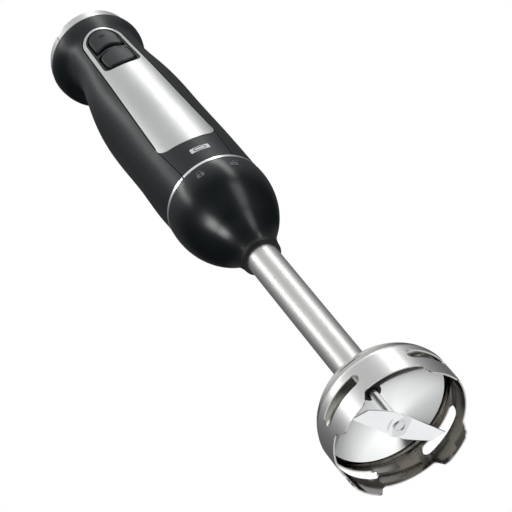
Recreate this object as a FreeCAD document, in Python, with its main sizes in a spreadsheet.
import FreeCAD, Part
import math
import os
import Sketcher

# Immersion blender, standing on the feet of its blade guard with its buttons towards -Y.
# The origin is the middle of the guard on the plane of the feet, +Z runs up the shaft.

doc = FreeCAD.newDocument("immersion_blender")

# ---------------------------------------------------------------- driving dimensions (mm)

SIZES = {
    # blade guard
    "guard_radius": 34.7,
    "guard_wall": 0.8,
    "guard_side": 15.5,
    "guard_dome_rise": 17.6,
    "guard_dome_radius": 22.5,
    "guard_collar_height": 6.0,
    "foot_height": 6.0,
    "foot_arc_deg": 36.0,
    "foot_slope": 3.0,
    "foot_round": 3.2,
    "slot_width": 28.0,
    "slot_height": 6.4,
    "slot_rise": 9.1,
    "dish_wall": 0.6,
    "dish_edge_gap": 1.6,
    "dish_edge_rise": 17.0,
    "dish_dome_rise": 11.0,
    # blade and its shaft
    "shaft_radius": 2.2,
    "blade_reach": 25.6,
    "blade_thickness": 1.2,
    "blade_rise": 7.0,
    "blade_hub_radius": 6.4,
    "blade_bend_deg": 8.0,
    "rivet_radius": 3.1,
    "rivet_height": 0.9,
    "spacer_radius": 3.0,
    "spacer_height": 3.2,
    # bearing end of the arm
    "seal_radius": 4.6,
    "seal_height": 3.0,
    "bush_radius": 4.6,
    "bush_height": 9.0,
    "holder_wall": 2.2,
    # arm
    "tube_radius": 8.8,
    "tube_wall": 0.8,
    "tube_length": 116.5,
    "collar_height": 2.6,
    "collar_lip_reach": 2.2,
    "coupling_radius": 28.7,
    "coupling_height": 53.0,
    "coupling_waist_radius": 19.1,
    "coupling_waist_drop": 34.6,
    "coupling_foot_reach": 2.4,
    "coupling_bulge": 53.0,
    "coupling_flare": 41.6,
    "coupling_wall": 2.2,
    "core_sleeve_wall": 3.0,
    "neck_radius": 20.0,
    "neck_wall": 2.8,
    "neck_height": 10.4,
    "lug_reach": 2.6,
    "lug_height": 3.6,
    "lug_arc_deg": 24.0,
    "upper_bush_radius": 6.0,
    "upper_bush_height": 12.0,
    "coupler_radius": 5.6,
    "coupler_height": 7.0,
    "coupler_dog": 2.0,
    "coupler_gap": 0.8,
    # handle
    "joint_gap": 0.4,
    "ring_height": 1.8,
    "ring_radius": 28.6,
    "grip_radius": 28.4,
    "grip_length": 176.7,
    "grip_wall": 2.4,
    "band_height": 6.5,
    "crown_rise": 2.5,
    "crown_radius": 150.0,
    "socket_height": 14.0,
    "twist_deg": 38.0,
    # face of the handle
    "strip_half_width": 14.3,
    "panel_half_width": 16.4,
    "panel_head_half_width": 12.3,
    "panel_rise": 24.4,
    "panel_shoulder_rise": 151.0,
    "panel_thickness": 1.2,
    "panel_corner": 6.5,
    "rim_width": 2.0,
    "window_rise": 117.4,
    "bezel_sink": 0.6,
    "button_proud": 0.7,
    "button_depth": 3.6,
    "button_margin": 1.5,
    "button_split_rise": 140.2,
    "button_split_gap": 2.0,
    "button_split_arch": 5.0,
    "button_travel": 1.8,
    "plunger_radius": 1.5,
    "plunger_length": 5.6,
    "switch_depth": 6.4,
    "switch_width": 12.8,
    "switch_height": 6.5,
    "board_width": 25.0,
    "board_length": 64.0,
    "board_thickness": 1.6,
    # cord inlet
    "inlet_back": 4.0,
    "inlet_radius": 3.4,
    "gland_radius": 6.0,
    "gland_lip": 1.6,
    "gland_rise": 3.0,
    # motor
    "motor_shaft_radius": 2.5,
    "stator_radius": 21.5,
    "stator_bore": 12.4,
    "stator_height": 30.0,
    "rotor_air_gap": 0.6,
    "coil_height": 6.0,
    "fan_radius": 16.0,
    "fan_height": 7.0,
    "fan_blades": 9.0,
    "bearing_radius": 6.5,
    "bearing_height": 5.0,
    "commutator_radius": 6.5,
    "commutator_height": 9.0,
    "brush_width": 5.0,
    "brush_length": 9.0,
    "frame_plate": 2.5,
    "frame_post": 2.2,
    "screw_radius": 1.5,
    "damper_height": 2.0,
    # fits
    "running_fit": 0.05,
    "seat_fit": 0.05,
    "part_gap": 0.35,
}

sheet = doc.addObject("Spreadsheet::Sheet", "Sizes")
for row, (alias, number) in enumerate(SIZES.items(), start=1):
    sheet.set(f"A{row}", alias)
    sheet.set(f"B{row}", str(number))
    sheet.setAlias(f"B{row}", alias)
doc.recompute()


def size(expression):
    """The number that an expression of sheet aliases gives."""
    return float(sheet.evalExpression(full(expression)))


def full(expression):
    """An expression with each alias given its sheet's name."""
    words = []
    word = ""
    for sign in f"{expression} ":
        if sign.isalnum() or sign in "_.":
            word += sign
        else:
            words.append(f"Sizes.{word}" if word in SIZES else word)
            words.append(sign)
            word = ""
    return "".join(words).strip()


# ---------------------------------------------------------------- levels up the axis

RIM = "foot_height"
SIDE_TOP = f"({RIM} + guard_side)"
DOME_TOP = f"({SIDE_TOP} + guard_dome_rise)"
COLLAR = f"({DOME_TOP} + tube_length)"
COUPLING = f"({COLLAR} + collar_height)"
ARM_TOP = f"({COUPLING} + coupling_height)"
WAIST = f"({ARM_TOP} - coupling_waist_drop)"
RING = f"({ARM_TOP} + joint_gap)"
GRIP = f"({RING} + ring_height)"
SHELL_TOP = f"({GRIP} + grip_length)"
BAND_TOP = f"({SHELL_TOP} + band_height)"
CROWN = f"({BAND_TOP} + crown_rise)"
NECK_TOP = f"({ARM_TOP} + neck_height)"
SEAL_FACE = f"({RIM} + dish_edge_rise + dish_dome_rise)"
SOCKET_TOP = f"({RING} + socket_height)"
MOTOR = f"({SOCKET_TOP} + damper_height)"
FAN = f"({MOTOR} + bearing_height + 5)"
STATOR = f"({FAN} + fan_height + coil_height + 2)"
STATOR_TOP = f"({STATOR} + stator_height)"
COMMUTATOR = f"({STATOR_TOP} + coil_height + 1)"
TOP_PLATE = f"({COMMUTATOR} + commutator_height + 1)"


# ---------------------------------------------------------------- drawing helpers

def origin_plane(body, role):
    return next(item for item in body.Origin.OriginFeatures if item.Role == role)


def new_body(name):
    body = doc.addObject("PartDesign::Body", name)
    body.Label = name
    return body


def new_sketch(body, role, offset="0", turn_deg=0.0):
    """A sketch on an origin plane of its body, moved along the plane's normal."""
    sketch = body.newObject("Sketcher::SketchObject", f"{body.Name}_outline")
    sketch.AttachmentSupport = [(origin_plane(body, role), "")]
    sketch.MapMode = "FlatFace"
    axis = FreeCAD.Vector(0, 1, 0) if role == "XZ_Plane" else FreeCAD.Vector(0, 0, 1)
    sketch.AttachmentOffset = FreeCAD.Placement(
        FreeCAD.Vector(0, 0, size(offset)), FreeCAD.Rotation(axis, turn_deg))
    sketch.setExpression("AttachmentOffset.Base.z", full(offset))
    return sketch


def pin(sketch, geometry, end, across, along):
    """Dimension a point from the sketch's origin with two expressions."""
    for kind, expression in (("DistanceX", across), ("DistanceY", along)):
        index = sketch.addConstraint(
            Sketcher.Constraint(kind, -1, 1, geometry, end, size(expression)))
        sketch.setExpression(f"Constraints[{index}]", full(expression))


def arc_between(start, finish, radius, left):
    """The arc from start to finish, with its middle to the left or right of the chord."""
    chord = finish - start
    half = chord.Length / 2
    rise = math.sqrt(max(radius * radius - half * half, 0.0))
    side = FreeCAD.Vector(-chord.y, chord.x, 0).normalize()
    middle = (start + finish) * 0.5 + side * (rise if left else -rise)
    first = math.atan2(start.y - middle.y, start.x - middle.x)
    last = math.atan2(finish.y - middle.y, finish.x - middle.x)
    circle = Part.Circle(middle, FreeCAD.Vector(0, 0, 1), radius)
    return Part.ArcOfCircle(circle, first, last) if left else Part.ArcOfCircle(circle, last, first)


def draw(sketch, outline):
    """Close an outline of corners (across, along), each with an optional arc that leads to it.

    The arc is (radius, "left") or (radius, "right"): the side of the chord its centre is on.
    """
    corners = [FreeCAD.Vector(size(corner[0]), size(corner[1]), 0) for corner in outline]
    ends = []
    for index, corner in enumerate(outline):
        start, finish = corners[index - 1], corners[index]
        if len(corner) == 2:
            line = sketch.addGeometry(Part.LineSegment(start, finish), False)
            ends.append((line, 1, 2))
            continue
        radius, side = corner[2]
        arc = sketch.addGeometry(arc_between(start, finish, size(radius), side == "left"), False)
        ends.append((arc, 1, 2) if side == "left" else (arc, 2, 1))
        limit = sketch.addConstraint(Sketcher.Constraint("Radius", arc, size(radius)))
        sketch.setExpression(f"Constraints[{limit}]", full(radius))
    for index, (geometry, _, finish) in enumerate(ends):
        following, start, _ = ends[(index + 1) % len(ends)]
        sketch.addConstraint(Sketcher.Constraint("Coincident", geometry, finish, following, start))
        pin(sketch, geometry, finish, outline[index][0], outline[index][1])


def rectangle(inner, outer, low, high):
    return [(inner, low), (outer, low), (outer, high), (inner, high)]


def round_outline(radius, across, along):
    """A full circle about a point, as two half arcs."""
    arc = (f"({radius}) * 1.0001", "left")
    return [(f"{across} - {radius}", along, arc), (f"{across} + {radius}", along, arc)]


def turned(name, outline):
    """A body turned about the Z axis from an outline of (radius, height) corners."""
    body = new_body(name)
    sketch = new_sketch(body, "XZ_Plane")
    draw(sketch, outline)
    turn = body.newObject("PartDesign::Revolution", f"{name}_turn")
    turn.Profile = sketch
    turn.ReferenceAxis = (sketch, ["V_Axis"])
    turn.Angle = 360
    body.Tip = turn
    return body


def padded(name, outline, low, height):
    """A body raised along Z from an outline of (x, y) corners."""
    body = new_body(name)
    sketch = new_sketch(body, "XY_Plane", low)
    draw(sketch, outline)
    pad = body.newObject("PartDesign::Pad", f"{name}_pad")
    pad.Profile = sketch
    pad.setExpression("Length", full(height))
    body.Tip = pad
    return body


def add_pad(body, outline, low, height):
    sketch = new_sketch(body, "XY_Plane", low)
    draw(sketch, outline)
    pad = body.newObject("PartDesign::Pad", f"{body.Name}_boss")
    pad.Profile = sketch
    pad.setExpression("Length", full(height))
    body.Tip = pad
    return pad


def add_pocket(body, outline, role, offset, depth, turn_deg=0.0, reverse=False):
    """Cut an outline out of a body, and make sure that it took something away."""
    doc.recompute()
    before = body.Shape.Volume
    sketch = new_sketch(body, role, offset, turn_deg)
    draw(sketch, outline)
    pocket = body.newObject("PartDesign::Pocket", f"{body.Name}_cut")
    pocket.Profile = sketch
    pocket.Reversed = reverse
    pocket.setExpression("Length", full(depth))
    body.Tip = pocket
    doc.recompute()
    assert body.Shape.Volume < before, f"{body.Label}: a cut missed the solid"
    return pocket


def repeat_round(body, feature, count):
    pattern = body.newObject("PartDesign::PolarPattern", f"{body.Name}_round")
    pattern.Originals = [feature]
    pattern.Axis = (origin_plane(body, "Z_Axis"), [""])
    pattern.Angle = 360
    pattern.Occurrences = count
    body.Tip = pattern
    doc.recompute()
    return pattern


def sector(arc_deg, inner, outer, middle_deg="0"):
    """Outline of a ring's sector between two radii, about a direction from +X."""
    def corner(radius, sign):
        angle = f"({middle_deg} {sign} ({arc_deg}) / 2)"
        return f"({radius}) * cos({angle})", f"({radius}) * sin({angle})"
    return [
        (*corner(inner, "-"), (f"({inner})", "right")),
        corner(outer, "-"),
        (*corner(outer, "+"), (f"({outer})", "left")),
        corner(inner, "+"),
    ]


def boolean(kind, name, base, tool):
    item = doc.addObject(f"Part::{kind}", name)
    item.Base = base
    item.Tool = tool
    item.Label = name
    return item


def box(name, corner, sides):
    item = doc.addObject("Part::Box", name)
    item.Label = name
    for side, expression in zip(("Length", "Width", "Height"), sides):
        item.setExpression(side, full(expression))
    for axis, expression in zip("xyz", corner):
        item.setExpression(f"Placement.Base.{axis}", full(expression))
    return item


def cylinder(name, radius, height, foot, axis=(0, 0, 1)):
    item = doc.addObject("Part::Cylinder", name)
    item.Label = name
    item.Placement = FreeCAD.Placement(
        FreeCAD.Vector(), FreeCAD.Rotation(FreeCAD.Vector(0, 0, 1), FreeCAD.Vector(*axis)))
    item.setExpression("Radius", full(radius))
    item.setExpression("Height", full(height))
    for side, expression in zip("xyz", foot):
        item.setExpression(f"Placement.Base.{side}", full(expression))
    return item


def group(name, items):
    """Several separate solids as one sub-part."""
    item = doc.addObject("Part::Compound", name)
    item.Links = items
    item.Label = name
    return item


# ---------------------------------------------------------------- blade guard

def make_guard():
    """Thin steel bell: four feet, four oblong slots and a collar on the tube."""
    collar_inner = "(tube_radius + seat_fit)"
    collar_outer = f"({collar_inner} + guard_wall)"
    inner_radius = "(guard_radius - guard_wall)"
    outline = [
        (inner_radius, "0"),
        ("guard_radius", "0"),
        ("guard_radius", SIDE_TOP),
        (collar_outer, DOME_TOP, ("guard_dome_radius", "left")),
        (collar_outer, f"{DOME_TOP} + guard_collar_height"),
        (collar_inner, f"{DOME_TOP} + guard_collar_height"),
        (collar_inner, f"{DOME_TOP} - guard_wall"),
        (inner_radius, SIDE_TOP, ("guard_dome_radius - guard_wall", "right")),
    ]
    body = turned("blade_guard", outline)
    gap_arc = "(90 - foot_arc_deg)"
    half_gap = f"(guard_radius * sin({gap_arc} / 2))"
    scallop = [
        (f"-{half_gap} - foot_slope", "-1"),
        (f"{half_gap} + foot_slope", "-1"),
        (f"{half_gap} + foot_slope", "0"),
        (f"{half_gap} + 0.3", f"{RIM} * 0.45", ("foot_round", "right")),
        (f"{half_gap} - 0.3", f"{RIM} * 0.55"),
        (f"{half_gap} - foot_slope", RIM, ("foot_round", "left")),
        (f"-{half_gap} + foot_slope", RIM),
        (f"0.3 - {half_gap}", f"{RIM} * 0.55", ("foot_round", "left")),
        (f"-{half_gap} - 0.3", f"{RIM} * 0.45"),
        (f"-{half_gap} - foot_slope", "0", ("foot_round", "right")),
    ]
    cut = add_pocket(body, scallop, "XZ_Plane", "0", "guard_radius + 1")
    repeat_round(body, cut, 4)
    reach = "(slot_width / 2 - slot_height / 2)"
    low = f"({RIM} + slot_rise - slot_height / 2)"
    high = f"({RIM} + slot_rise + slot_height / 2)"
    end_radius = "(slot_height / 2 * 1.0001)"
    slot = [
        (f"-{reach}", low, (end_radius, "left")),
        (reach, low),
        (reach, high, (end_radius, "left")),
        (f"-{reach}", high),
    ]
    cut = add_pocket(body, slot, "XZ_Plane", "0", "guard_radius + 1", turn_deg=45)
    repeat_round(body, cut, 4)


def make_dish():
    """Domed splash dish inside the guard, around the seal."""
    edge = "(guard_radius - guard_wall - dish_edge_gap)"
    low = f"({RIM} + dish_edge_rise)"
    hub = "(seal_radius + seat_fit)"
    turned("splash_dish", [
        (edge, f"{low} + dish_wall"),
        (hub, f"{SEAL_FACE} + dish_wall", ("guard_radius * 2", "left")),
        (hub, SEAL_FACE),
        (edge, low, ("guard_radius * 2", "right")),
    ])


def make_bearing_end():
    """Holder in the tube's end with its bush and the lip seal around the shaft."""
    bore = "(bush_radius + seat_fit)"
    face = f"({SEAL_FACE} + dish_wall)"
    shelf = f"({SEAL_FACE} + seal_height)"
    holder_top = f"({shelf} + bush_height)"
    turned("lower_bush_holder", [
        (bore, face),
        (f"{bore} + holder_wall * 0.8", face),
        (f"{bore} + holder_wall * 0.8", f"{DOME_TOP} - guard_wall"),
        ("tube_radius - tube_wall - seat_fit", f"{DOME_TOP} - guard_wall"),
        ("tube_radius - tube_wall - seat_fit", holder_top),
        (bore, holder_top),
    ])
    running = "(shaft_radius + running_fit)"
    turned("lip_seal", [
        (running, f"{SEAL_FACE} + seal_height * 0.5"),
        ("shaft_radius + 1", SEAL_FACE),
        ("seal_radius", SEAL_FACE),
        ("seal_radius", shelf),
        (running, shelf),
    ])
    turned("lower_bush", rectangle(running, "bush_radius", shelf, holder_top))


# Corners of one wing as shares of the blade's reach: the swept edge from the hub to the tip, the
# end, the trailing edge, then the root inside the hub.
WING = [(0.18, -0.14), (0.47, 0.165), (0.836, 0.559), (0.515, 0.62), (0.26, 0.49), (0.066, 0.38),
        (-0.12, 0.20), (0.13, 0.115)]
WING_DEG = 34.0


def make_blade():
    """Blade of a flat hub and two swept wings, one bent down and the other bent up."""
    hub = turned("blade_hub", rectangle(
        "shaft_radius + seat_fit", "blade_hub_radius", "blade_rise", "blade_rise + blade_thickness"))
    wings = []
    for name, turn in (("low", 1), ("high", -1)):
        outline = [(f"blade_reach * {turn * x}", f"blade_reach * {turn * y}") for x, y in WING]
        wing = padded(f"blade_wing_{name}", outline, "blade_rise", "blade_thickness")
        heading = math.radians(WING_DEG)
        along = FreeCAD.Vector(math.cos(heading), math.sin(heading), 0)
        fold = along * (turn * 0.8 * size("blade_hub_radius"))
        fold.z = size("blade_rise + blade_thickness / 2")
        across = FreeCAD.Vector(-along.y, along.x, 0)
        wing.Placement = FreeCAD.Placement(
            FreeCAD.Vector(), FreeCAD.Rotation(across, size("blade_bend_deg")), fold)
        wings.append(wing)
    boolean("Fuse", "blade", boolean("Fuse", "blade_half", hub, wings[0]), wings[1])


def make_drive():
    """Long shaft through the arm, with the blade's rivet and spacer and the arm's coupler."""
    top = f"({NECK_TOP} - coupler_dog)"
    turned("drive_shaft", [
        ("0", "blade_rise - rivet_height * 0.4"),
        ("shaft_radius", "blade_rise - rivet_height * 0.4"),
        ("shaft_radius", top),
        ("0", top),
    ])
    turned("blade_rivet", rectangle(
        "shaft_radius + seat_fit", "rivet_radius", "blade_rise - rivet_height", "blade_rise"))
    above = "(blade_rise + blade_thickness)"
    turned("blade_spacer", [
        ("shaft_radius + seat_fit", above),
        ("spacer_radius", above),
        ("spacer_radius", f"{above} + spacer_height * 0.6"),
        ("shaft_radius + 0.5", f"{above} + spacer_height"),
        ("shaft_radius + seat_fit", f"{above} + spacer_height"),
    ])
    foot = f"({NECK_TOP} - coupler_dog - coupler_height + 1)"
    coupler = turned("arm_coupler", rectangle(
        "shaft_radius + seat_fit", "coupler_radius", foot, f"{foot} + coupler_height - 1"))
    dog = add_pad(coupler, sector("50", "shaft_radius + 1", "coupler_radius - 0.05"),
                  f"{foot} + coupler_height - 1", "coupler_dog")
    repeat_round(coupler, dog, 3)


# ---------------------------------------------------------------- arm

def make_arm():
    """Steel tube, its coupling housing with the bayonet neck, and the rings at both ends."""
    tube_top = f"({COUPLING} + coupling_height * 0.45)"
    collar_lip = "(tube_radius + collar_lip_reach)"
    housing_foot = "(tube_radius + coupling_foot_reach)"
    turned("arm_tube", rectangle(
        "tube_radius - tube_wall", "tube_radius", f"{DOME_TOP} - guard_wall", tube_top))
    turned("tube_collar", [
        ("tube_radius + seat_fit", COLLAR),
        (f"{collar_lip} - 0.6", COLLAR),
        (collar_lip, f"{COLLAR} + 0.6"),
        (housing_foot, COUPLING),
        ("tube_radius + seat_fit", COUPLING),
    ])
    flange = f"({ARM_TOP} - coupling_wall)"
    opening = "(neck_radius + seat_fit)"
    turned("coupling_housing", [
        (housing_foot, COUPLING),
        ("coupling_waist_radius", WAIST, ("coupling_flare", "right")),
        ("coupling_radius", ARM_TOP, ("coupling_bulge", "left")),
        (opening, ARM_TOP),
        (opening, flange),
        ("coupling_radius - coupling_wall", flange),
        ("coupling_waist_radius - coupling_wall", WAIST, ("coupling_bulge - coupling_wall", "right")),
        (f"{housing_foot} - coupling_wall", COUPLING, ("coupling_flare + coupling_wall", "left")),
    ])
    sleeve = "(tube_radius + seat_fit)"
    bush = "(upper_bush_radius + seat_fit)"
    bush_low = f"({tube_top} + 2)"
    bush_high = f"({bush_low} + upper_bush_height)"
    sleeve_outer = f"({sleeve} + core_sleeve_wall)"
    core = turned("bayonet_core", [
        (bush, tube_top),
        (sleeve, tube_top),
        (sleeve, f"{WAIST} - 6"),
        (sleeve_outer, f"{WAIST} - 6"),
        (sleeve_outer, f"{bush_high} - 6"),
        ("neck_radius + 3", f"{flange} - 4"),
        ("neck_radius + 3", f"{flange}"),
        ("neck_radius", f"{flange}"),
        ("neck_radius", NECK_TOP),
        ("neck_radius - neck_wall", NECK_TOP),
        ("neck_radius - neck_wall", f"{bush_high} + 8"),
        (bush, bush_high),
    ])
    lug_low = f"({NECK_TOP} - lug_height - 0.4)"
    lug_outline = sector("lug_arc_deg", "neck_radius - 1", "neck_radius + lug_reach")
    lug = add_pad(core, lug_outline, lug_low, "lug_height")
    repeat_round(core, lug, 3)
    turned("upper_bush", rectangle("shaft_radius + running_fit", "upper_bush_radius", bush_low, bush_high))


# ---------------------------------------------------------------- bottom of the handle

def make_joint():
    """Bright ring at the joint and the bayonet socket that holds the arm."""
    bore = "(neck_radius + 0.6)"
    groove = "(neck_radius + lug_reach + 0.5)"
    outside = "(grip_radius - grip_wall - part_gap)"
    turned("junction_ring", rectangle(f"{outside} + seat_fit", "ring_radius", RING, GRIP))
    ledge = f"({NECK_TOP} - lug_height - 0.9)"
    socket = turned("bayonet_socket", [
        (bore, RING),
        (outside, RING),
        (outside, SOCKET_TOP),
        ("bearing_radius + 2", SOCKET_TOP),
        ("bearing_radius + 2", f"{SOCKET_TOP} - 2"),
        (groove, f"{SOCKET_TOP} - 2"),
        (groove, ledge),
        (bore, ledge),
    ])
    entry = sector("lug_arc_deg + 6", "neck_radius - 2", "neck_radius + lug_reach + 0.5", "-twist_deg")
    cut = add_pocket(socket, entry, "XY_Plane", ledge, f"{ledge} - {RING} + 1")
    repeat_round(socket, cut, 3)


# ---------------------------------------------------------------- grip form

# Each station: share of the grip's length, then shares of its radius: half width, front depth,
# rear depth, and how far behind the axis its widest line lies.
STATIONS = [
    (0.00, 1.000, 1.000, 1.000, 0.00),
    (0.07, 1.006, 0.990, 1.012, 0.00),
    (0.18, 1.008, 0.972, 1.028, 0.00),
    (0.36, 1.000, 0.950, 1.050, 0.03),
    (0.51, 1.000, 0.935, 1.055, 0.05),
    (0.62, 0.958, 0.915, 0.920, -0.05),
    (0.70, 0.880, 0.900, 0.690, -0.16),
    (0.77, 0.802, 0.887, 0.500, -0.23),
    (0.825, 0.772, 0.880, 0.485, -0.24),
    (0.865, 0.774, 0.880, 0.530, -0.21),
    (0.90, 0.828, 0.884, 0.770, -0.05),
    (0.945, 0.962, 0.896, 1.075, 0.11),
    (1.00, 1.005, 0.905, 1.135, 0.11),
    (1.06, 0.995, 0.890, 1.130, 0.11),
]


def section(height, half, front, rear, widest):
    """A closed outline of two half ellipses that share their widest line."""
    halves = []
    for depth, turn in ((front + widest, 180.0), (rear - widest, 0.0)):
        if half >= depth:
            ellipse = Part.Ellipse(FreeCAD.Vector(), half, depth)
            arc = Part.Arc(ellipse, 0, math.pi).toShape()
        else:
            ellipse = Part.Ellipse(FreeCAD.Vector(), depth, half)
            arc = Part.Arc(ellipse, -math.pi / 2, math.pi / 2).toShape()
            arc.rotate(FreeCAD.Vector(), FreeCAD.Vector(0, 0, 1), 90)
        arc.rotate(FreeCAD.Vector(), FreeCAD.Vector(0, 0, 1), turn)
        arc.translate(FreeCAD.Vector(0, widest, height))
        halves.append(arc)
    return Part.Wire(Part.__sortEdges__(halves))


def grip_form(name, inset):
    """The whole handle as one solid, with every side moved inwards by an inset."""
    base, length, radius = size(GRIP), size("grip_length"), size("grip_radius")
    wires = []
    for along, half, front, rear, widest in STATIONS:
        depths = [share * radius - inset for share in (half, front, rear)]
        wires.append(section(base + along * length, *depths, widest * radius))
    form = doc.addObject("Part::Feature", name)
    form.Shape = Part.makeLoft(wires, True, False, False, 3)
    form.Label = name
    return form


doc.recompute()
SKIN = grip_form("grip_skin", 0.0)
RECESS = grip_form("grip_recess", size("panel_thickness"))
LINING = grip_form("grip_lining", size("grip_wall"))
PROUD = grip_form("grip_proud", -size("button_proud"))
SUNK = grip_form("grip_sunk", size("bezel_sink"))
WALL = boolean("Cut", "grip_wall_form", SKIN, LINING)


# ---------------------------------------------------------------- face of the handle

def face_prism(name, outline, depth="grip_radius * 0.62"):
    """A prism through the front wall only, from an outline of (x, height) corners."""
    body = new_body(name)
    sketch = new_sketch(body, "XZ_Plane", depth)
    draw(sketch, outline)
    pad = body.newObject("PartDesign::Pad", f"{name}_pad")
    pad.Profile = sketch
    pad.setExpression("Length", full("grip_radius"))
    body.Tip = pad
    return body


def panel_outline(margin):
    """Face panel: a sagging foot, straight sides that lean in, and an arched head."""
    low = f"({GRIP} + panel_rise - {margin})"
    shoulder = f"({GRIP} + panel_shoulder_rise)"
    wide = f"(panel_half_width + {margin})"
    narrow = f"(panel_head_half_width + {margin})"
    corner = f"(panel_corner + {margin})"
    foot = f"({wide} - panel_corner)"
    return [
        (foot, low, ("panel_half_width * 2.2", "left")),
        (wide, f"{low} + {corner} * 1.5", (f"{corner} * 1.15", "left")),
        (narrow, shoulder),
        (f"-{narrow}", shoulder, (f"{narrow} * 1.0001", "left")),
        (f"-{wide}", f"{low} + {corner} * 1.5"),
        (f"-{foot}", low, (f"{corner} * 1.15", "left")),
    ]


def window_outline(margin):
    """Button field inside the panel's bright rim."""
    low = f"({GRIP} + window_rise - {margin})"
    shoulder = f"({GRIP} + panel_shoulder_rise)"
    lean = "(panel_half_width - panel_head_half_width)"
    narrow = f"(panel_head_half_width - rim_width + {margin})"
    wide = f"({narrow} + {lean} * (panel_shoulder_rise - window_rise) / (panel_shoulder_rise - panel_rise))"
    return [
        (f"{wide} - 4", low, ("panel_half_width * 2.2", "left")),
        (wide, f"{low} + 4.5", ("5", "left")),
        (narrow, shoulder),
        (f"-{narrow}", shoulder, (f"{narrow} * 1.0001", "left")),
        (f"-{wide}", f"{low} + 4.5"),
        (f"4 - {wide}", low, ("5", "left")),
    ]


def upper_button_outline(margin):
    """D-shaped button under the arch, hollowed below to clear its neighbour."""
    shoulder = f"({GRIP} + panel_shoulder_rise)"
    wide = f"(panel_head_half_width - rim_width - button_margin + {margin})"
    low = f"({GRIP} + button_split_rise + button_split_gap / 2 - {margin})"
    return [
        (wide, f"{low} - 2"),
        (wide, shoulder),
        (f"-{wide}", shoulder, (f"{wide} * 1.0001", "left")),
        (f"-{wide}", f"{low} - 2"),
        (f"2.5 - {wide}", f"{low} - 2.5"),
        (f"{wide} - 2.5", f"{low} - 2.5", ("panel_half_width", "right")),
    ]


def lower_button_outline(margin):
    """Rounded button with an arched top and a slightly sagging foot."""
    wide = f"(panel_head_half_width - rim_width - button_margin * 0.6 + {margin})"
    low = f"({GRIP} + window_rise + button_margin - {margin})"
    high = f"({GRIP} + button_split_rise - button_split_gap / 2 - button_split_arch + {margin})"
    return [
        (f"{wide} - 3.5", low, ("panel_half_width * 2.2", "left")),
        (wide, f"{low} + 4", ("4.5", "left")),
        (wide, f"{high} - 1"),
        (f"{wide} - 2.6", f"{high} + 1.6", ("3", "left")),
        (f"2.6 - {wide}", f"{high} + 1.6", ("panel_half_width", "left")),
        (f"-{wide}", f"{high} - 1", ("3", "left")),
        (f"-{wide}", f"{low} + 4"),
        (f"3.5 - {wide}", low, ("4.5", "left")),
    ]


def strip_outline(margin):
    """Front cover: the strip below the panel, then the panel's own edge."""
    shoulder = f"({GRIP} + panel_shoulder_rise)"
    narrow = f"(panel_head_half_width + {margin})"
    wide = f"(panel_half_width + {margin})"
    foot = f"(strip_half_width + {margin})"
    return [
        (foot, GRIP),
        (wide, f"{GRIP} + panel_rise + panel_corner * 1.5"),
        (narrow, shoulder),
        (f"-{narrow}", shoulder, (f"{narrow} * 1.0001", "left")),
        (f"-{wide}", f"{GRIP} + panel_rise + panel_corner * 1.5"),
        (f"-{foot}", GRIP),
    ]


def make_face():
    """Shell, front cover, bright panel, button bezel and the two buttons."""
    below = box("below_the_band", ("-grip_radius * 2", "-grip_radius * 2", GRIP),
                ("grip_radius * 4", "grip_radius * 4", "grip_length"))
    window = face_prism("shell_window", strip_outline("2 * part_gap"))
    opened = boolean("Cut", "opened_wall", WALL, window)
    boolean("Common", "main_shell", opened, below)
    strip = boolean("Common", "strip_wall", WALL, face_prism("strip_form", strip_outline("part_gap")))
    skin_layer = boolean("Cut", "panel_layer", SKIN, RECESS)
    panel_seat = boolean("Common", "panel_seat", skin_layer,
                         face_prism("panel_seat_form", panel_outline("part_gap * 1.01")))
    seated = boolean("Cut", "seated_strip", strip, panel_seat)
    upper_hole = face_prism("upper_hole_form", upper_button_outline("part_gap"))
    lower_hole = face_prism("lower_hole_form", lower_button_outline("part_gap"))
    pierced = boolean("Cut", "pierced_strip", seated, upper_hole)
    boolean("Cut", "front_cover", pierced, lower_hole)
    plate = boolean("Common", "panel_plate", skin_layer, face_prism("panel_form", panel_outline("0")))
    boolean("Cut", "face_panel", plate, face_prism("panel_window", window_outline("0")))
    bezel_layer = boolean("Cut", "bezel_layer", SUNK, RECESS)
    bezel = boolean("Common", "bezel_plate", bezel_layer,
                    face_prism("bezel_form", window_outline("-part_gap / 3")))
    bezel_half = boolean("Cut", "bezel_upper_cut", bezel, upper_hole)
    boolean("Cut", "button_bezel", bezel_half, lower_hole)
    button_back = grip_form("button_back", size("button_depth - button_proud"))
    hollow = boolean("Cut", "button_layer", PROUD, button_back)
    boolean("Common", "upper_button", hollow, face_prism("upper_button_form", upper_button_outline("0")))
    boolean("Common", "lower_button", hollow, face_prism("lower_button_form", lower_button_outline("0")))


def make_switches():
    """Board with two push switches, each with its plunger behind a button."""
    back = "(grip_radius * 0.9 - button_depth)"
    upper = f"({GRIP} + button_split_rise + 8)"
    lower = f"({GRIP} + window_rise + 10)"
    face = f"({back} - button_travel - 0.9)"
    board_front = f"({face} - switch_depth)"
    box("control_board", ("-board_width / 2", f"-{board_front}", f"{upper} + 9 - board_length"),
        ("board_width", "board_thickness", "board_length"))
    for name, level in (("upper", upper), ("lower", lower)):
        block = box(f"{name}_switch_block",
                    ("-switch_width / 2", f"-{face}", f"{level} - switch_height / 2"),
                    ("switch_width", "switch_depth", "switch_height"))
        bore = cylinder(f"{name}_switch_bore", "plunger_radius + running_fit * 2", "switch_depth - 1.2",
                        ("0", f"-{face} - 0.01", level), (0, 1, 0))
        boolean("Cut", f"{name}_switch", block, bore)
        cylinder(f"{name}_plunger", "plunger_radius", "plunger_length",
                 ("0", f"-{back} + 0.2", level), (0, 1, 0))


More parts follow.
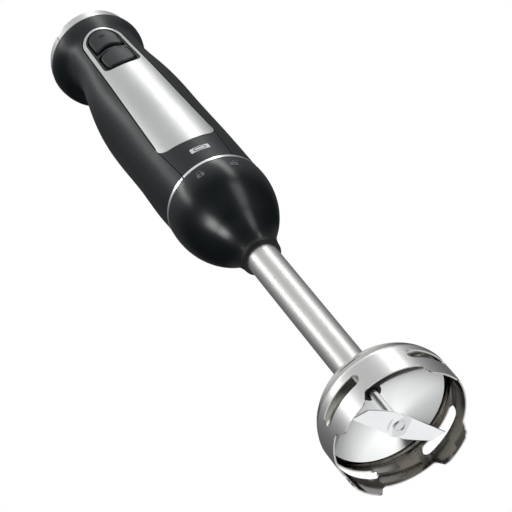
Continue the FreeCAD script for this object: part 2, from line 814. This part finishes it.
def make_head():
    """Bright band, crowned cap and the cord inlet's bush."""
    band_zone = box("band_zone", ("-grip_radius * 2", "-grip_radius * 2", SHELL_TOP),
                    ("grip_radius * 4", "grip_radius * 4", "band_height"))
    boolean("Common", "top_band", WALL, band_zone)
    inner = grip_form("cap_form", size("grip_wall + seat_fit"))
    cap_zone = box("cap_zone", ("-grip_radius * 2", "-grip_radius * 2", f"{SHELL_TOP} - 2"),
                   ("grip_radius * 4", "grip_radius * 4", "band_height + crown_rise + 2"))
    slab = boolean("Common", "cap_slab", inner, cap_zone)
    ball = doc.addObject("Part::Sphere", "crown_ball")
    ball.setExpression("Radius", full("crown_radius"))
    ball.setExpression("Placement.Base.z", full(f"{CROWN} - crown_radius"))
    crowned = boolean("Common", "crowned_slab", slab, ball)
    hollow = grip_form("cap_hollow", size("grip_wall * 2"))
    hollow_zone = box("cap_hollow_zone", ("-grip_radius * 2", "-grip_radius * 2", f"{SHELL_TOP} - 3"),
                      ("grip_radius * 4", "grip_radius * 4", "band_height"))
    scoop = boolean("Common", "cap_scoop", hollow, hollow_zone)
    cupped = boolean("Cut", "cupped_cap", crowned, scoop)
    hole = cylinder("inlet_hole", "gland_radius + seat_fit", "band_height + crown_rise + 6",
                    ("0", "inlet_back", f"{SHELL_TOP} - 3"))
    boolean("Cut", "top_cap", cupped, hole)
    gland = turned("cord_gland", [
        ("inlet_radius", f"{SHELL_TOP} + 1"),
        ("gland_radius", f"{SHELL_TOP} + 1"),
        ("gland_radius", CROWN),
        ("gland_radius + gland_lip", CROWN),
        ("gland_radius + gland_lip - 1", f"{CROWN} + gland_rise * 0.6"),
        ("inlet_radius + 1.4", f"{CROWN} + gland_rise"),
        ("inlet_radius", f"{CROWN} + gland_rise"),
    ])
    gland.setExpression("Placement.Base.y", full("inlet_back"))


# ---------------------------------------------------------------- motor

def make_motor():
    """Series motor: laminated field with coils, wound rotor, fan, brushes and two end frames."""
    bearing = "(bearing_radius + seat_fit)"
    shaft = "(motor_shaft_radius + seat_fit)"
    damper_outer = "(grip_radius - grip_wall - 3)"
    turned("motor_damper", rectangle("bearing_radius + 4", damper_outer, SOCKET_TOP, MOTOR))
    hub_top = f"({MOTOR} + bearing_height)"
    post_circle = "(fan_radius + frame_post + 0.6)"
    lower = turned("lower_end_frame", [
        (bearing, MOTOR),
        (damper_outer, MOTOR),
        (damper_outer, f"{MOTOR} + frame_plate"),
        ("bearing_radius + 2", f"{MOTOR} + frame_plate"),
        ("bearing_radius + 2", hub_top),
        (bearing, hub_top),
    ])
    post = [(f"{post_circle} - frame_post", "-frame_post"), (f"{post_circle} + frame_post", "-frame_post"),
            (f"{post_circle} + frame_post", "frame_post"), (f"{post_circle} - frame_post", "frame_post")]
    leg = add_pad(lower, post, f"{MOTOR} + frame_plate", f"{STATOR} - {MOTOR} - frame_plate")
    repeat_round(lower, leg, 4)
    hub_low = f"({TOP_PLATE} + frame_plate)"
    upper = turned("upper_end_frame", [
        ("commutator_radius + 1", TOP_PLATE),
        ("stator_radius", TOP_PLATE),
        ("stator_radius", hub_low),
        ("bearing_radius + 2", hub_low),
        ("bearing_radius + 2", f"{hub_low} + bearing_height"),
        (bearing, f"{hub_low} + bearing_height"),
        (bearing, hub_low),
    ])
    post = [("stator_radius - 2 * frame_post", "-frame_post"), ("stator_radius - 0.3", "-frame_post"),
            ("stator_radius - 0.3", "frame_post"), ("stator_radius - 2 * frame_post", "frame_post")]
    leg = add_pad(upper, post, STATOR_TOP, f"{TOP_PLATE} - {STATOR_TOP}")
    repeat_round(upper, leg, 2)
    turned("lower_bearing", rectangle(shaft, "bearing_radius", MOTOR, hub_top))
    turned("upper_bearing", rectangle(shaft, "bearing_radius", hub_low, f"{hub_low} + bearing_height"))
    turned("stator_core", rectangle("stator_bore", "stator_radius", STATOR, STATOR_TOP))
    rotor_outer = "(stator_bore - rotor_air_gap)"
    turned("rotor_core", rectangle(shaft, rotor_outer, STATOR, STATOR_TOP))
    coil_outer = f"({rotor_outer} - 1.5)"
    windings, coils = [], []
    for place, low in (("low", f"({STATOR} - coil_height)"), ("high", STATOR_TOP)):
        outline = rectangle(shaft, coil_outer, low, f"{low} + coil_height")
        windings.append(turned(f"rotor_winding_{place}", outline))
        for side, turn in (("front", "-90"), ("rear", "90")):
            outline = sector("84", "stator_bore + 0.8", f"{post_circle} - frame_post - part_gap", turn)
            coils.append(padded(f"field_coil_{place}_{side}", outline, low, "coil_height"))
    group("rotor_windings", windings)
    group("field_windings", coils)
    turned("commutator", rectangle(
        shaft, "commutator_radius", COMMUTATOR, f"{COMMUTATOR} + commutator_height"))
    dogs = f"({NECK_TOP} + coupler_gap)"
    turned("motor_shaft", rectangle(
        "0", "motor_shaft_radius", dogs, f"{hub_low} + bearing_height + 1"))
    coupler = turned("drive_coupler", rectangle(
        shaft, "coupler_radius", f"{dogs} + coupler_dog", f"{MOTOR} - part_gap"))
    dog_outline = sector("50", "motor_shaft_radius + 0.6", "coupler_radius - 0.05")
    dog = add_pad(coupler, dog_outline, dogs, "coupler_dog")
    repeat_round(coupler, dog, 3)
    make_fan(shaft)
    make_brushes()


def make_fan(shaft):
    hub = turned("cooling_fan", [
        (shaft, FAN),
        ("fan_radius", FAN),
        ("fan_radius", f"{FAN} + 1.2"),
        ("motor_shaft_radius + 3", f"{FAN} + 1.2"),
        ("motor_shaft_radius + 3", f"{FAN} + fan_height"),
        (shaft, f"{FAN} + fan_height"),
    ])
    vane = [("motor_shaft_radius + 2.5", "-0.5"), ("fan_radius - 0.2", "-0.5"),
            ("fan_radius - 0.2", "0.5"), ("motor_shaft_radius + 2.5", "0.5")]
    blade = add_pad(hub, vane, f"{FAN} + 1", "fan_height - 1")
    repeat_round(hub, blade, int(size("fan_blades")))


def make_brushes():
    """Two carbon brushes on the commutator, each in a holder under the upper end frame."""
    middle = f"({COMMUTATOR} + commutator_height / 2)"
    tip = "(commutator_radius + running_fit)"
    holder_wall = "1.2"
    brushes, holders = [], []
    for side, sign in (("front", "-1"), ("rear", "1")):
        start = f"({sign} * ({tip} + brush_length / 2) - brush_length / 2)"
        brushes.append(box(f"brush_{side}", ("-brush_width / 2", start, f"{middle} - brush_width / 2"),
                           ("brush_width", "brush_length", "brush_width")))
        inner = f"({tip} + 2)"
        length = f"(stator_radius - 4 - {inner})"
        place = f"({sign} * ({inner} + {length} / 2) - {length} / 2)"
        half = f"(brush_width / 2 + {holder_wall})"
        outer = box(f"holder_block_{side}", (f"-{half}", place, f"{middle} - {half}"),
                    (f"2 * {half}", length, f"{TOP_PLATE} - {middle} + {half}"))
        room = "(brush_width / 2 + seat_fit)"
        bore = box(f"holder_bore_{side}", (f"-{room}", f"{place} - 1", f"{middle} - {room}"),
                   (f"2 * {room}", f"{length} + 2", f"2 * {room}"))
        holders.append(boolean("Cut", f"holder_{side}", outer, bore))
    group("carbon_brushes", brushes)
    group("brush_holders", holders)


def make_screws():
    """Three screws that hold the motor's lower end frame on the socket, through the damper."""
    circle = "(bearing_radius + 7)"
    grip, free = "(screw_radius + seat_fit)", "(screw_radius + part_gap)"
    for name, hole, top in (("bayonet_socket", grip, SOCKET_TOP), ("motor_damper", free, MOTOR),
                            ("lower_end_frame", grip, f"{MOTOR} + frame_plate")):
        body = doc.getObject(name)
        outline = round_outline(hole, f"{circle} * cos(30)", f"{circle} * sin(30)")
        cut = add_pocket(body, outline, "XY_Plane", top, "frame_plate")
        repeat_round(body, cut, 3)
    foot = f"({SOCKET_TOP} - 1.6)"
    seat = f"({MOTOR} + frame_plate)"
    screws = []
    for index in range(3):
        turn = f"({index} * 120 + 30)"
        place = (f"{circle} * cos({turn})", f"{circle} * sin({turn})")
        head = cylinder(f"screw_head_{index}", "screw_radius * 1.8", "screw_radius", (*place, seat))
        shank = cylinder(f"screw_shank_{index}", "screw_radius", f"{seat} - {foot}", (*place, foot))
        screws.append(boolean("Fuse", f"screw_{index}", head, shank))
    group("end_frame_screws", screws)


# ---------------------------------------------------------------- build and write out

NODES = [
    "blade_guard", "splash_dish", "lower_bush_holder", "lip_seal", "lower_bush",
    "blade", "drive_shaft", "blade_rivet", "blade_spacer", "arm_coupler",
    "arm_tube", "tube_collar", "coupling_housing", "bayonet_core", "upper_bush",
    "junction_ring", "bayonet_socket", "main_shell", "front_cover", "face_panel",
    "button_bezel", "upper_button", "lower_button", "control_board",
    "upper_switch", "lower_switch", "upper_plunger", "lower_plunger",
    "top_band", "top_cap", "cord_gland", "motor_damper", "lower_end_frame", "upper_end_frame",
    "lower_bearing", "upper_bearing", "stator_core", "field_windings", "rotor_core",
    "rotor_windings", "commutator", "motor_shaft", "drive_coupler", "cooling_fan",
    "carbon_brushes", "brush_holders", "end_frame_screws",
]

make_guard()
make_dish()
make_bearing_end()
make_blade()
make_drive()
make_arm()
make_joint()
make_face()
make_switches()
make_head()
make_motor()
make_screws()
doc.recompute()

for item in doc.Objects:
    assert not {"Invalid", "Error"} & set(item.State), f"{item.Label}: {item.State}"

os.makedirs("parts", exist_ok=True)
for name in NODES:
    shape = next(item for item in doc.Objects if item.Label == name).Shape
    assert not shape.isNull() and shape.isValid() and shape.Volume > 0, f"{name}: bad shape"
    shape.exportStep(os.path.join("parts", f"{name}.step"))
    print(name, len(shape.Solids), round(shape.Volume, 1))
